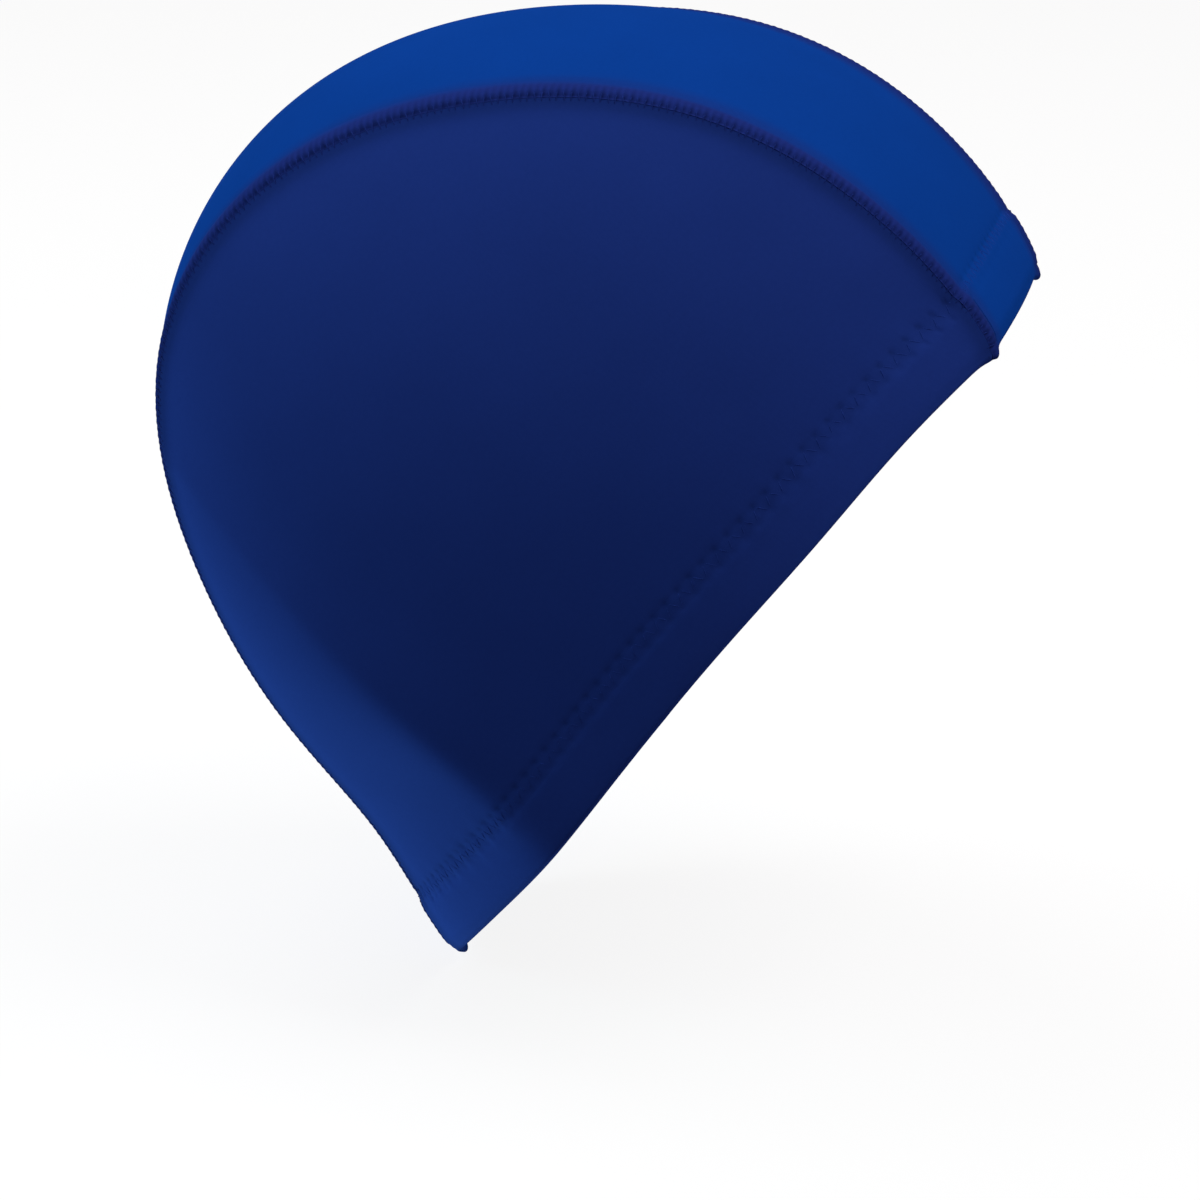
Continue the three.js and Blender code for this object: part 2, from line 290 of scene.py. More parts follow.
def turned(point, normal, up, drop):
    """Rolls a face under at the folded edge. Gives the face and its outward direction there."""
    low = np.clip(1 - up / FOLD_RADIUS, 0, 1)[..., None]
    side = np.sqrt(1 - low**2)
    face = point - normal * FOLD_RADIUS * (1 - side)
    sink = (drop * np.clip(1 - up / FOLD_HEIGHT, 0, 1))[..., None]
    return face - UP * sink, normal * side - UP * low


def run_length(points):
    """Distance along a line of points from its first one."""
    steps = np.linalg.norm(np.diff(points, axis=0), axis=-1)
    return np.concatenate(([0.0], np.cumsum(steps)))


def sheet_faces(rows, columns):
    """Faces of a closed sheet: outer grid, inner grid and the four edges between them."""
    at = np.arange(rows * columns).reshape(rows, columns)
    under = at + rows * columns

    def cells(a, b, c, d):
        return np.stack((a, b, c, d), -1).reshape(-1, 4)

    return np.concatenate((
        cells(at[:-1, :-1], at[1:, :-1], at[1:, 1:], at[:-1, 1:]),
        cells(under[:-1, 1:], under[1:, 1:], under[1:, :-1], under[:-1, :-1]),
        cells(under[:-1, 0], under[1:, 0], at[1:, 0], at[:-1, 0]),
        cells(at[:-1, -1], at[1:, -1], under[1:, -1], under[:-1, -1]),
        cells(at[0, :-1], at[0, 1:], under[0, 1:], under[0, :-1]),
        cells(under[-1, :-1], under[-1, 1:], at[-1, 1:], at[-1, :-1]),
    )).tolist()


def tube_faces(rings, corners, closed, start=0):
    """Faces of a tube of like rings, joined end to end or closed by flat ends."""
    at = start + np.arange(rings * corners).reshape(rings, corners)
    last = rings if closed else rings - 1
    ahead = np.roll(at, -1, 0)[:last]
    here = at[:last]
    quads = np.stack((here, ahead, np.roll(ahead, -1, 1), np.roll(here, -1, 1)), -1).reshape(-1, 4)
    ends = [] if closed else [at[0].tolist(), at[-1][::-1].tolist()]
    return quads.tolist() + ends


def new_piece(name, points, faces, marks=None, crease=50):
    """Mesh object from points and faces, with named marks kept on its points for the finishes."""
    mesh = bpy.data.meshes.new(name)
    mesh.from_pydata(np.asarray(points).reshape(-1, 3).tolist(), [], faces)
    for mark, values in (marks or {}).items():
        kind, field = ("FLOAT_VECTOR", "vector") if values.ndim == 2 else ("FLOAT", "value")
        layer = mesh.attributes.new(mark, kind, "POINT")
        layer.data.foreach_set(field, values.astype(np.float32).ravel())
    mesh.update()
    mesh.validate()
    mesh.shade_smooth()
    mesh.set_sharp_from_angle(angle=math.radians(crease))
    piece = bpy.data.objects.new(name, mesh)
    bpy.context.scene.collection.objects.link(piece)
    return piece


def closed_piece(name, points, faces, marks):
    """Piece whose faces all look outward."""
    piece = new_piece(name, points, faces, marks)
    mesh = bmesh.new()
    mesh.from_mesh(piece.data)
    bmesh.ops.recalc_face_normals(mesh, faces=mesh.faces)
    mesh.to_mesh(piece.data)
    mesh.free()
    return piece


def weave_at(across, along):
    """Place on the flat cloth of each point of a grid."""
    across, along = np.broadcast_arrays(across, along)
    return np.stack((across, along, 0 * along), -1).reshape(-1, 3)


def thread_tubes(name, paths, radius):
    """Round threads along paths of points, all in one piece."""
    points, faces, corners = [], [], 6
    for path in paths:
        ahead = unit(np.gradient(path, axis=0))
        first = unit(np.cross(ahead, np.array((0.31, 0.17, 0.93))))
        second = np.cross(ahead, first)
        turn = np.arange(corners) * 2 * math.pi / corners
        ring = (first[:, None] * np.cos(turn)[:, None] + second[:, None] * np.sin(turn)[:, None])
        faces += tube_faces(len(path), corners, False, sum(len(p) for p in points))
        points.append((path[:, None] + radius * ring).reshape(-1, 3))
    return new_piece(name, np.concatenate(points), faces, crease=80)


def needle_rows(line, along, sizes, upper_size, lower_size):
    """Upper and lower row of needle holes, 1 in each hole. Line is the height over the middle."""
    pitch, reach = sizes.stitch_pitch, sizes.stitch_width / 2
    upper = ((along / pitch + 0.5) % 1 - 0.5) * pitch
    lower = (along / pitch % 1 - 0.5) * pitch
    return (bump(upper, upper_size) * bump(line - reach, upper_size),
            bump(lower, lower_size) * bump(line + reach, lower_size))


def stitch_relief(up, along, sizes):
    """Height of the cloth close to the hem stitching."""
    line, reach = up - sizes.stitch_height, sizes.stitch_width / 2
    rows = ROW_SINK * (bump(line - reach, ROW_REACH) + bump(line + reach, ROW_REACH))
    ridge = RIDGE_HEIGHT * bump(line, RIDGE_REACH)
    double = DOUBLE_HEIGHT * smooth(-line / DOUBLE_REACH)
    uneven = 0.9 * np.sin(along / 0.023) + 0.6 * np.sin(along / 0.0091 + 1)
    turn = 2 * math.pi * along / RIPPLE_PITCH + uneven
    ripple = RIPPLE_HEIGHT * np.cos(turn) * bump(line, RIPPLE_REACH)
    holes = HOLE_DEPTH * sum(needle_rows(line, along, sizes, HOLE_SIZE, HOLE_SIZE))
    return (ridge + double + ripple - rows - holes) * smooth(up / HEM_STEP_SOFT)


def hem_shade(up, along, sizes, soft):
    """Painted shade and light of the hem: painted shade in the needle holes and along the
    stitching, and painted light below the stitching, where the cloth is double."""
    line = up - sizes.stitch_height
    upper, lower = needle_rows(line, along, sizes, HOLE_SIZE, 0.0008)
    between = 0.04 * bump(line, sizes.stitch_width / 2)
    return 0.26 * upper + 0.06 * lower + between - 0.09 * smooth((0.5 * soft - line) / soft)


def rim_measure(side):
    """Table from ahead to length along a side panel at the height of the hem stitching."""
    high = bpy.context.scene.cap_hem.stitch_height
    front, back = ends_at(high)
    ahead = np.linspace(reach_at(back) * np.cos(back), reach_at(front) * np.cos(front), 800)
    return ahead, run_length(side_point(ahead, np.full(800, high), side))


# Finishes

def new_finish(name):
    """Empty finish, and short ways to add a node, to do a sum and to set its surface."""
    finish = bpy.data.materials.new(name)
    finish.use_nodes = True
    tree = finish.node_tree

    def fill(socket, value):
        if isinstance(value, bpy.types.NodeSocket):
            tree.links.new(value, socket)
        else:
            socket.default_value = value

    def add(kind, *values, **settings):
        node = tree.nodes.new(kind)
        for socket, value in zip(node.inputs, values):
            fill(socket, value)
        for key, value in settings.items():
            socket = key.replace("_", " ")
            if socket in node.inputs:
                fill(node.inputs[socket], value)
            else:
                setattr(node, key, value)
        return node

    def maths(how, *values):
        return add("ShaderNodeMath", *values, operation=how).outputs[0]

    def surface(**settings):
        for key, value in settings.items():
            fill(tree.nodes["Principled BSDF"].inputs[key.replace("_", " ")], value)

    return finish, add, maths, surface


def knit_finish(name, colour, tint, blend=None):
    """Fine elastic warp knit: wales and courses, faint mottling and a soft sheen. Points with the
    painted shade mark are darker, painted shade, and lighter where the mark is below 0, painted
    light. Points marked edge take the blend colour: on the strip a painted shade by the seams, on
    the seam band a fade to the strip's colour that ends its painted shade, and painted light at its
    nape end."""
    finish, add, maths, surface = new_finish(name)
    place = add("ShaderNodeAttribute", attribute_name="weave").outputs["Vector"]
    wales = add("ShaderNodeTexWave", Vector=place, Scale=310.0, Distortion=0.35, Detail=1.0,
                bands_direction="X").outputs["Fac"]
    courses = add("ShaderNodeTexWave", Vector=place, Scale=380.0, Distortion=0.5, Detail=1.0,
                  bands_direction="Y").outputs["Fac"]
    grain = add("ShaderNodeTexNoise", Vector=place, Scale=900.0, Detail=2.0).outputs["Fac"]
    mottle = add("ShaderNodeTexNoise", Vector=place, Scale=42.0, Detail=3.0).outputs["Fac"]
    loops = maths("MULTIPLY", maths("MULTIPLY", wales, courses), 0.5)
    height = maths("ADD", loops, maths("MULTIPLY", grain, 0.5))
    relief = add("ShaderNodeBump", Height=height, Strength=0.22, Distance=0.00005)
    share = 1.0
    for pattern, depth in ((mottle, 0.14), (grain, 0.12)):
        spread = maths("MULTIPLY", maths("SUBTRACT", pattern, 0.5), depth)
        share = maths("ADD", spread, share)
    # Painted shade: the mark darkens the colour, and where it is below 0 it lightens it, painted
    # light.
    painted_shading = add("ShaderNodeAttribute", attribute_name="painted_shading").outputs["Fac"]
    share = maths("MULTIPLY", share, maths("SUBTRACT", 1.0, painted_shading))
    edge = add("ShaderNodeAttribute", attribute_name="edge").outputs["Fac"]
    tone = add("ShaderNodeMix", data_type="RGBA", Factor=edge)
    for socket, shade in ((tone.inputs[6], colour), (tone.inputs[7], blend or colour)):
        socket.default_value = (*shade, 1)
    shaded = add("ShaderNodeVectorMath", tone.outputs[2], operation="SCALE", Scale=share)
    surface(Normal=relief.outputs["Normal"], Base_Color=shaded.outputs[0], Roughness=0.85,
            Specular_IOR_Level=0.003, Sheen_Weight=0.015, Sheen_Roughness=0.4,
            Sheen_Tint=(*tint, 1.0))
    return finish


def thread_finish(name, colour):
    """Twisted polyester sewing thread."""
    finish, add, maths, surface = new_finish(name)
    place = add("ShaderNodeTexCoord").outputs["Object"]
    twist = add("ShaderNodeTexWave", Vector=place, Scale=1500.0, Distortion=2.0,
                bands_direction="DIAGONAL").outputs["Fac"]
    relief = add("ShaderNodeBump", Height=twist, Strength=0.5, Distance=0.00004)
    share = maths("ADD", maths("MULTIPLY", twist, 0.3), 0.85)
    tone = add("ShaderNodeVectorMath", colour, operation="SCALE", Scale=share)
    surface(Normal=relief.outputs["Normal"], Base_Color=tone.outputs[0], Roughness=0.7,
            Specular_IOR_Level=0.01)
    return finish


# Settings that a user would change

class CapClothSettings(bpy.types.PropertyGroup):
    """Cloth of the three panels."""
    # Colour of the cloth as it looks lit, with next to no red.
    strip_colour: bpy.props.FloatVectorProperty(
        name="Strip Colour", description="Colour of the centre panel", subtype="COLOR",
        size=3, min=0, max=1, default=(0.003, 0.045, 0.285))
    # Painted shade tint: the same cloth as the strip, with more red, as that cloth looks in shade.
    # The side panels and the hem leaf take it.
    side_shade_tinted_colour: bpy.props.FloatVectorProperty(
        name="Side Colour", description="Colour of the side panels and the hem", subtype="COLOR",
        size=3, min=0, max=1, default=(0.0165, 0.046, 0.285))
    sheen_tint: bpy.props.FloatVectorProperty(
        name="Sheen Tint", description="Colour of the soft shine at grazing angles",
        subtype="COLOR", size=3, min=0, max=1, default=(0.1, 0.3, 0.9))
    thickness: bpy.props.FloatProperty(
        name="Thickness", description="Wall of each panel", subtype="DISTANCE", unit="LENGTH",
        min=0.0004, max=0.0012, precision=5, default=CLOTH)
    side_columns: bpy.props.IntProperty(
        name="Side Columns", description="Mesh steps along each side panel", min=40, max=400,
        default=300)
    strip_columns: bpy.props.IntProperty(
        name="Strip Columns", description="Mesh steps across the centre panel", min=8, max=80,
        default=48)


class CapSeamSettings(bpy.types.PropertyGroup):
    """Overlocked seams between the panels."""
    # Darker and redder than the strip's colour: partly the thread cover of the band, partly painted
    # shade.
    band_colour: bpy.props.FloatVectorProperty(
        name="Band Colour", description="Colour of the raised seam band", subtype="COLOR",
        size=3, min=0, max=1, default=(0.0115, 0.0255, 0.172))
    thread_colour: bpy.props.FloatVectorProperty(
        name="Thread Colour", description="Colour of the seam thread", subtype="COLOR",
        size=3, min=0, max=1, default=(0.0105, 0.026, 0.175))
    pitch: bpy.props.FloatProperty(
        name="Stitch Pitch", description="Distance from loop to loop", subtype="DISTANCE",
        unit="LENGTH", min=0.001, max=0.004, precision=5, default=0.0016)
    rise: bpy.props.FloatProperty(
        name="Band Rise", description="Height of the band over the cloth", subtype="DISTANCE",
        unit="LENGTH", min=0.0002, max=0.0012, precision=5, default=0.0006)
    thread: bpy.props.FloatProperty(
        name="Thread Thickness", description="Diameter of the seam thread", subtype="DISTANCE",
        unit="LENGTH", min=0.0001, max=0.0006, precision=5, default=0.0003)


class CapHemSettings(bpy.types.PropertyGroup):
    """Turned hem and its stitching."""
    # Same colour as the side panels, with its painted shade tint.
    thread_colour: bpy.props.FloatVectorProperty(
        name="Thread Colour", description="Colour of the hem stitching", subtype="COLOR",
        size=3, min=0, max=1, default=(0.0165, 0.046, 0.285))
    stitch_height: bpy.props.FloatProperty(
        name="Stitch Height", description="Middle of the stitching over the rim",
        subtype="DISTANCE", unit="LENGTH", min=0.008, max=0.018, precision=5, default=0.0146)
    stitch_pitch: bpy.props.FloatProperty(
        name="Stitch Pitch", description="Length of one full zigzag", subtype="DISTANCE",
        unit="LENGTH", min=0.002, max=0.008, precision=5, default=0.004)
    stitch_width: bpy.props.FloatProperty(
        name="Stitch Width", description="Width of the zigzag", subtype="DISTANCE",
        unit="LENGTH", min=0.0004, max=0.005, precision=5, default=0.0036)
    thread: bpy.props.FloatProperty(
        name="Thread Thickness", description="Diameter of the hem thread", subtype="DISTANCE",
        unit="LENGTH", min=0.0001, max=0.0006, precision=5, default=0.0002)


class CapStageSettings(bpy.types.PropertyGroup):
    """Floor, lights and camera."""
    floor_colour: bpy.props.FloatVectorProperty(
        name="Floor Colour", description="Colour of the pale floor", subtype="COLOR",
        size=3, min=0, max=1, default=(0.16, 0.16, 0.16))
    floor_glow: bpy.props.FloatProperty(
        name="Floor Glow", description="How brightly the pale floor is lit from within",
        min=0, max=1, default=0.87)
    azimuth: bpy.props.FloatProperty(
        name="Camera Azimuth", description="Camera direction round the cap", subtype="ANGLE",
        unit="ROTATION", default=math.radians(11.358))
    elevation: bpy.props.FloatProperty(
        name="Camera Elevation", description="Camera height over the horizon", subtype="ANGLE",
        unit="ROTATION", default=math.radians(20.449))
    distance: bpy.props.FloatProperty(
        name="Camera Distance", description="Camera to the middle of the opening",
        subtype="DISTANCE", unit="LENGTH", min=0.3, max=5, default=1.00814)
    lens: bpy.props.FloatProperty(
        name="Lens", description="Focal length on a 36 mm sensor", subtype="DISTANCE_CAMERA",
        min=20, max=300, default=132.87)
    aim_side: bpy.props.FloatProperty(
        name="Aim Sideways", description="How far right of the opening's middle the view aims",
        subtype="DISTANCE", unit="LENGTH", precision=5, default=-0.033567)
    aim_up: bpy.props.FloatProperty(
        name="Aim Up", description="How far above the opening's middle the view aims",
        subtype="DISTANCE", unit="LENGTH", precision=5, default=0.003493)


# Pieces

class CAP_OT_side_panels(bpy.types.Operator):
    """Make the two cloth side panels, turned under at the folded edge"""
    bl_idname = "cap.side_panels"
    bl_label = "Side Panels"

    def execute(self, context):
        cloth, hem = context.scene.cap_cloth, context.scene.cap_hem
        finish = knit_finish("royal blue knit, sides", cloth.side_shade_tinted_colour, cloth.sheen_tint)
        for side, word in ((-1, "right"), (1, "left")):
            piece = self.panel(f"side_panel_{word}_cloth", side, cloth, hem)
            piece.data.materials.append(finish)
            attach(piece, "root")
            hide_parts(f"side_panel_{word}")
        return {"FINISHED"}

    def panel(self, name, side, cloth, hem):
        """Half-moon from the folded edge up to the seam line, rows up and columns along."""
        share = np.linspace(0, 1, cloth.side_columns + 1)
        angle = share * math.pi
        top = reach_at(angle) - EDGE_GAP
        top_ahead, top_up = top * np.cos(angle), top * np.sin(angle)
        top_up[[0, -1]] = 0
        rim_ahead = top_ahead[0] + (top_ahead[-1] - top_ahead[0]) * share
        turn = FOLD_RADIUS * (1 - np.cos(np.linspace(0, math.pi / 2, 7)))
        low = np.minimum(1, 0.5 * top_up / FOLD_RADIUS)
        hem_top = np.minimum(HEM_TOP, 0.45 * top_up)
        rows = [low * t for t in turn]
        base = rows[6]
        rows += [base + (hem_top - base) * k / 32 for k in range(1, 33)]
        rows += [hem_top + (top_up - hem_top) * k / 80 for k in range(1, 81)]
        up = np.array(rows)
        part = np.divide(up, top_up, out=np.zeros_like(up), where=top_up > 0)
        ahead = rim_ahead + (top_ahead - rim_ahead) * part
        point = side_point(ahead, up, side)
        normal = side_normal(ahead, up, side)
        ends = seam_ends(side)
        soft = eased(normal, side_point(ahead, 0 * up, side), corner_normals(side)[0], ends)
        turned_normal = mixed(soft, normal, smooth(up / (3 * FOLD_RADIUS)))
        measure, length = rim_measure(side)
        along = np.interp(ahead, measure, length)
        point = point + normal * stitch_relief(up, along, hem)[..., None]
        drop = fold_drop(side_point(ahead, 0 * up, side), ends)
        outer, out = turned(point, turned_normal, up, drop)
        inner = outer - out * cloth.thickness
        weave = weave_at(ahead, up)
        # Painted shade: darker just below the seam line, where the band's lip shades the side
        # panel, plus the hem's painted shade and light.
        to_seam = reach_at(np.arctan2(up, ahead)) - np.hypot(ahead, up)
        painted_shading = (0.30 * bump(to_seam - 0.0010, 0.0022) + hem_shade(up, along, hem, 0.0024)).ravel()
        piece = closed_piece(name, np.stack((outer, inner)), sheet_faces(*up.shape),
                             {"weave": np.concatenate((weave, weave)),
                              "painted_shading": np.concatenate((painted_shading, 0 * painted_shading))})
        return piece


class CAP_OT_centre_panel(bpy.types.Operator):
    """Make the cloth centre panel from the forehead over the crown to the nape"""
    bl_idname = "cap.centre_panel"
    bl_label = "Centre Panel"

    def execute(self, context):
        cloth, hem = context.scene.cap_cloth, context.scene.cap_hem
        finish = knit_finish("royal blue knit, strip", cloth.strip_colour, cloth.sheen_tint,
                             blend=context.scene.cap_seam.band_colour)
        turn = FOLD_RADIUS * (1 - np.cos(np.linspace(0, math.pi / 2, 7)))
        low = np.concatenate((turn[:-1], np.linspace(FOLD_RADIUS, HEM_TOP, 34)))
        front, back = ends_at(low)
        angle = np.concatenate((front, np.linspace(front[-1], back[-1], 242)[1:-1], back[::-1]))
        edge = half_at(angle) - SEAM_WIDTH + 0.0004
        across = edge[:, None] * np.linspace(-1, 1, cloth.strip_columns + 1)
        angle = angle[:, None] + 0 * across
        up = strip_polar(angle, across)[1]
        point, normal = strip_point(angle, across), strip_normal(angle, across)
        rim_angle = np.where(angle < math.pi / 2, 0.0, math.pi)
        rim = strip_point(rim_angle, across)
        soft, drop = normal, 0
        for side in (-1, 1):
            ends = seam_ends(side)
            soft = eased(soft, rim, corner_normals(side)[1], ends)
            drop = drop + fold_drop(rim, ends)
        turned_normal = mixed(soft, normal, smooth(up / (3 * FOLD_RADIUS)))
        point = point + normal * stitch_relief(up, across + STRIP_START, hem)[..., None]
        outer, out = turned(point, turned_normal, up, drop)
        inner = outer - out * cloth.thickness
        length = run_length(strip_point(angle[:, 0], 0 * angle[:, 0]))
        weave = weave_at(across, length[:, None])
        # Painted shade: near the seams the strip's colour turns half way to the band's, over a
        # wider span at the forehead.
        inward = half_at(angle) - np.abs(across)
        fade = 0.0026 + 0.0030 * smooth((1.1 - angle) / 0.5)
        edge = (0.5 * (1 - smooth((inward - SEAM_WIDTH + 0.0004) / fade))).ravel()
        painted_shading = hem_shade(up, across + STRIP_START, hem, 0.008).ravel()
        piece = closed_piece("centre_panel_cloth", np.stack((outer, inner)),
                             sheet_faces(*angle.shape), {"weave": np.concatenate((weave, weave)),
                                                         "edge": np.concatenate((edge, edge)),
                                                         "painted_shading": np.tile(painted_shading, 2)})
        piece.data.materials.append(finish)
        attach(piece, "root")
        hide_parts("centre_panel")
        return {"FINISHED"}


def seam_trail(step):
    """Even steps along a seam: up the inside leaf, round the fold, over the crown and down."""
    leaf = np.arange(HEM_DEPTH, FOLD_RADIUS, -step)
    roll = np.linspace(math.pi, 0, 15)
    up = np.concatenate((leaf, FOLD_RADIUS * (1 - np.sin(roll))))
    turn = np.concatenate((np.full(len(leaf), math.pi), roll))
    fine = np.linspace(*ends_at(FOLD_RADIUS), 4000)
    length = run_length(strip_point(fine, half_at(fine)))
    count = int(length[-1] / step)
    over = np.interp(np.linspace(0, length[-1], count), length, fine)
    front, back = ends_at(up)
    angle = np.concatenate((front, over[1:-1], back[::-1]))
    turn = np.concatenate((turn, np.zeros(count - 2), turn[::-1]))
    return angle, turn


def seam_face(side, angle, turn, inward):
    """Face under a seam band at distances in from the seam line, and its outward direction."""
    across = side * (half_at(angle)[:, None] - inward)
    angle = angle[:, None] + 0 * across
    up = strip_polar(angle, across)[1]
    point, normal = strip_point(angle, across), strip_normal(angle, across)
    rim = strip_point(np.where(angle < math.pi / 2, 0.0, math.pi), across)
    ends = seam_ends(side)
    soft = eased(normal, rim, corner_normals(side)[1], ends)
    normal = mixed(soft, normal, smooth((up - FOLD_RADIUS) / 0.004))
    turn = turn[:, None, None] + 0 * normal[..., :1]
    out = normal * np.cos(turn) - UP * np.sin(turn)
    face = point - normal * FOLD_RADIUS * (1 - np.cos(turn))
    sink = fold_drop(rim, ends) * np.clip(1 - up / FOLD_HEIGHT, 0, 1)
    return face - UP * sink[..., None], out


class CAP_OT_seams(bpy.types.Operator):
    """Make the two overlocked seams with their thread loops and inside turnings"""
    bl_idname = "cap.seams"
    bl_label = "Seams"

    def execute(self, context):
        seam = context.scene.cap_seam
        cloth = context.scene.cap_cloth
        band_finish = knit_finish("overlocked seam", seam.band_colour, cloth.sheen_tint,
                                  blend=cloth.strip_colour)
        loop_finish = thread_finish("seam thread", seam.thread_colour)
        for side, word in ((-1, "right"), (1, "left")):
            band = self.band(f"seam_{word}_band", side, seam)
            band.data.materials.append(band_finish)
            loops = self.loops(f"seam_{word}_loops", side, seam)
            turning = self.turning(f"seam_{word}_turning", side, seam)
            turning.data.materials.append(band_finish)
            inside = self.inside_loops(f"seam_{word}_inside_loops", side, seam)
            for piece in (loops, inside):
                piece.data.materials.append(loop_finish)
            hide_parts(f"seam_{word}")
            for piece in (band, loops, turning, inside):
                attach(piece, "root")
        return {"FINISHED"}

    def band(self, name, side, seam):
        """Raised band on the centre panel's side of the seam line, ribbed by its loops."""
        angle, turn = seam_trail(0.00023)
        # Shares of the band's width from the seam line, close together at the band's lip
        share = np.concatenate(([-0.05, -0.01, 0.02, 0.05, 0.08, 0.12], np.linspace(0.17, 1, 12)))
        inward = np.tile(share * SEAM_WIDTH, (len(angle), 1))
        face, out = seam_face(side, angle, turn, inward)
        length = run_length(face[:, 9])[:, None]
        beat = np.cos(2 * math.pi * length / seam.pitch)
        slow = np.cos(math.pi * length / seam.pitch)
        # Height: a steep side at the lip, a long one to the strip, ribs from the loops, and less
        # where the hem stitching and the fold press it down
        crest = smooth((share + 0.02) / 0.28) * smooth((1.02 - share) / 0.62)
        hem = bpy.context.scene.cap_hem
        up = strip_polar(angle, side * half_at(angle))[1]
        press = (1 - 0.5 * bump(up - hem.stitch_height, 0.0016)) * (1 - 0.6 * bump(up, 0.003))
        high = seam.rise * crest * (1 + 0.06 * beat + 0.03 * slow) * press[:, None]
        high = high + 0.00007 * beat * bump(share - 0.12, 0.10)
        high = high - 0.00014 * (1 - smooth(share / 0.1)) - 0.00003 * smooth((share - 0.9) / 0.1)
        outer = face + out * high[..., None]
        inner = face[:, ::-1] - out[:, ::-1] * CLOTH * 0.9
        ring = np.concatenate((outer, inner[:, [0, -1]]), 1)
        rings, corners = ring.shape[:2]
        # Painted shade: dark rungs by the lip, fainter ones over the crest, where shade falls
        # between the loops, and the strip's colour towards the far side, where the painted shade
        # fades
        holes = (0.11 + 0.10 * beat - 0.07 * slow) * bump(share - 0.12, 0.28)
        holes = holes + 0.05 * beat * (1 - smooth((share - 0.55) / 0.4))
        painted_shading = np.concatenate((holes, 0 * beat, 0 * beat), 1)
        edge = np.tile(0.5 * smooth((share - 0.55) / 0.45), (rings, 1))
        # Painted light: at the nape end the band takes the strip's colour and loses its dark rungs,
        # so the shaded end of the fold looks lit.
        nape = (0.9 * bump(up, 0.004) * (angle > math.pi / 2))[:, None]
        edge = np.concatenate((edge, 0 * beat, 0 * beat), 1)
        edge, painted_shading = edge + (1 - edge) * nape, painted_shading * (1 - nape)
        weave = weave_at(np.concatenate((inward, inward[:, :2]), 1), length)
        return closed_piece(name, ring, tube_faces(rings, corners, False),
                            {"weave": weave, "painted_shading": painted_shading.ravel(), "edge": edge.ravel()})

    def beats(self, side, seam, low, steps):
        """Angles along a seam from a height over the rim, their lengths, and where loops cross."""
        fine = np.linspace(*ends_at(low), steps)
        length = run_length(strip_point(fine, side * half_at(fine)))
        return fine, length, (np.arange(int(length[-1] / seam.pitch)) + 0.5) * seam.pitch

    def loops(self, name, side, seam):
        """Short threads that cross the seam line like the rungs of a ladder."""
        fine, length, at = self.beats(side, seam, 0.0016, 6000)
        lean = 0.12 * seam.pitch
        shift = np.where(np.arange(len(at)) % 2, lean, -lean)
        paths = []
        over = [np.interp(at + shift * k, length, fine) for k in (-1, -0.6, 0, 0.6, 1)]
        for inset, high, angle in ((0.0012, -0.00022, over[0]), (0.0008, -0.00002, over[1])):
            radius = reach_at(angle) - inset
            ahead, up = radius * np.cos(angle), radius * np.sin(angle)
            face = side_point(ahead, up, side)
            paths.append(face + side_normal(ahead, up, side) * high)
        for inward, high, angle in ((0.0001, 0.00010, over[2]), (0.0006, 0.00026, over[3]),
                                    (0.0013, 0.00030, over[4])):
            across = side * (half_at(angle) - inward)
            face = strip_point(angle, across)
            paths.append(face + strip_normal(angle, across) * high)
        paths = np.stack(paths, 1)
        return thread_tubes(name, paths, seam.thread / 2)

    def turning(self, name, side, seam):
        """Seam turning that lies flat inside, from the leaf over the crown to the other leaf."""
        angle = np.linspace(*ends_at(HEM_DEPTH), 700)
        share = np.linspace(0, 1, 9)
        inward = np.tile(-0.0002 + share * SEAM_WIDTH, (len(angle), 1))
        face, out = seam_face(side, angle, 0 * angle, inward)
        length = run_length(face[:, 4])[:, None]
        beat = np.cos(2 * math.pi * length / seam.pitch)
        high = 0.0007 * (4 * share * (1 - share)) ** 0.4 * (1 + 0.12 * beat)
        lower = face - out * (CLOTH - 0.0001 + high)[..., None]
        upper = (face - out * (CLOTH - 0.0002))[:, ::-1][:, [0, -1]]
        ring = np.concatenate((lower, upper), 1)
        rings, corners = ring.shape[:2]
        weave = weave_at(np.concatenate((inward, inward[:, :2]), 1), length)
        return closed_piece(name, ring, tube_faces(rings, corners, False), {"weave": weave})

    def inside_loops(self, name, side, seam):
        """Overlock threads across the inside turning."""
        fine, length, at = self.beats(side, seam, HEM_DEPTH + 0.0012, 4000)
        paths = []
        for inward, deep, lead in ((-0.0004, 0.0010, -0.5), (0.0002, 0.0017, -0.3),
                                   (0.0026, 0.0020, 0), (0.0049, 0.0018, 0.3),
                                   (0.0055, 0.0012, 0.5)):
            angle = np.interp(at + lead * seam.pitch, length, fine)
            across = side * (half_at(angle) - inward)
            paths.append(strip_point(angle, across) - strip_normal(angle, across) * deep)
        return thread_tubes(name, np.stack(paths, 1), seam.thread * 0.4)


